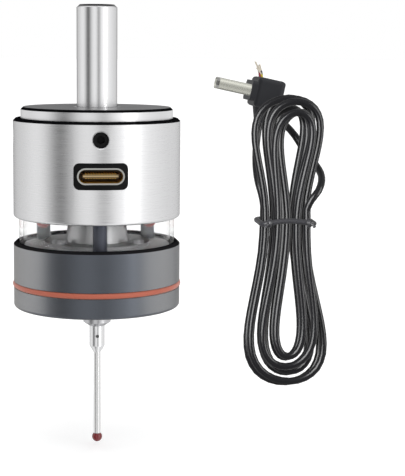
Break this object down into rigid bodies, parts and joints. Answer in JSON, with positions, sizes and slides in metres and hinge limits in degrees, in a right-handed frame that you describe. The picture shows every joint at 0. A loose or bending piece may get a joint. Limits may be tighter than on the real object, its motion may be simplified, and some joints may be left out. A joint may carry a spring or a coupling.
{
  "type": "touch probe edge finder",
  "caption": "Touch probe edge finder for a milling spindle: plain shank, silver and grey housings with a clear window, ruby-tipped stylus, USB-C socket, and a tied hank of cable.",
  "frame": {"origin": "on the spindle axis at the shoulder, where the shank meets the cap's top face", "axes": "+Z along the shank, away from the stylus; the socket faces -Y; the wound cable hangs on the +X side"},
  "size_m": [0.063, 0.0334, 0.0879],
  "materials": {
    "turned_steel": "fine turned, satin",
    "cap_metal": "fine sandblasted grey, satin, black edge chamfer",
    "silver_anodised": "turned and clear anodised, satin, black edge chamfer",
    "grey_anodised": "slate grey anodised, fine turned, satin",
    "black_oxide": "black oxide, satin",
    "screw_steel": "bright steel, satin",
    "tower_metal": "fine turned, satin",
    "plate_metal": "matt grey, fine turned",
    "post_metal": "blue-grey anodised, satin",
    "brass": "machined, satin",
    "spring_steel": "drawn wire, bright",
    "polished_steel": "polished, hardened",
    "socket_steel": "formed sheet, bright nickel",
    "plug_nickel": "formed sheet, warm nickel",
    "gold_contacts": "gold plated",
    "black_plastic": "moulded, fine texture",
    "board": "green solder mask, semi-gloss",
    "chip_plastic": "moulded epoxy, matt",
    "red_lens": "red tinted clear epoxy",
    "clear_plastic": "clear polished acrylic",
    "seal_rubber": "smooth orange-red silicone",
    "black_rubber": "smooth black silicone",
    "seat_plastic": "machined natural PEEK-like plastic",
    "stem_ceramic": "ground, satin",
    "ruby": "polished synthetic ruby",
    "overmould_rubber": "moulded soft plastic, fine texture",
    "cord_jacket": "smooth PVC jacket, satin",
    "tie_wire": "coated tie, satin",
    "core_insulation": "coloured PVC insulation",
    "tinned_copper": "tinned strands"
  },
  "bodies": {
    "housing": {"shank": "turned_steel", "top_cap": "cap_metal", "shank_screw": "black_oxide", "centring_screws": "black_oxide", "upper_housing": "silver_anodised", "port_bezel": "black_plastic", "usb_shell": "socket_steel", "usb_tongue": "black_plastic", "usb_contacts": "gold_contacts", "main_board": "board", "control_chip": "chip_plastic", "board_spacers": "brass", "board_screws": "screw_steel", "board_link": "black_plastic", "led_board": "board", "status_leds": "red_lens", "clear_ring": "clear_plastic", "post_front": "post_metal", "post_left": "post_metal", "post_right": "post_metal", "post_screws": "screw_steel", "floor_plate": "plate_metal", "spring_tower": "tower_metal", "tower_screws": "screw_steel", "load_screw": "brass", "lower_housing": "grey_anodised", "seal_ring": "seal_rubber", "base_cover": "grey_anodised", "base_screws": "screw_steel", "seat_ring": "seat_plastic", "seat_balls": "polished_steel", "seat_screws": "screw_steel", "plug_shell": "plug_nickel", "plug_core": "black_plastic", "plug_overmould": "overmould_rubber", "cord_plug_tail": "cord_jacket", "cord_hank": "cord_jacket", "cord_far_tail": "cord_jacket", "cable_tie": "tie_wire", "core_wires": "core_insulation", "wire_tips": "tinned_copper"},
    "rocker_back": {"return_spring": "spring_steel"},
    "rocker_left": {"dust_seal": "black_rubber"},
    "stylus": {"star_hub": "turned_steel", "star_pins": "polished_steel", "stylus_base": "turned_steel", "stylus_stem": "stem_ceramic", "ruby_ball": "ruby"}
  },
  "joints": [
    {"name": "lift_back_pin", "type": "hinge", "parent": "housing", "child": "rocker_back", "pos_m": [0, -0.0045, -0.0332], "axis": [1, 0, 0], "range_deg": [0, 8], "stiffness_Nm_per_rad": 0.006, "springref_deg": -63.03, "deforming": ["return_spring", "dust_seal"]},
    {"name": "lift_left_pin", "type": "hinge", "parent": "rocker_back", "child": "rocker_left", "pos_m": [0.0039, 0.00225, -0.0332], "axis": [-0.5, 0.866, 0], "range_deg": [0, 8], "stiffness_Nm_per_rad": 0.006, "springref_deg": -63.03, "deforming": ["return_spring", "dust_seal"]},
    {"name": "lift_right_pin", "type": "hinge", "parent": "rocker_left", "child": "stylus", "pos_m": [-0.0039, 0.00225, -0.0332], "axis": [-0.5, -0.866, 0], "range_deg": [0, 8], "stiffness_Nm_per_rad": 0.006, "springref_deg": -63.03, "deforming": ["return_spring", "dust_seal"]}
  ]
}
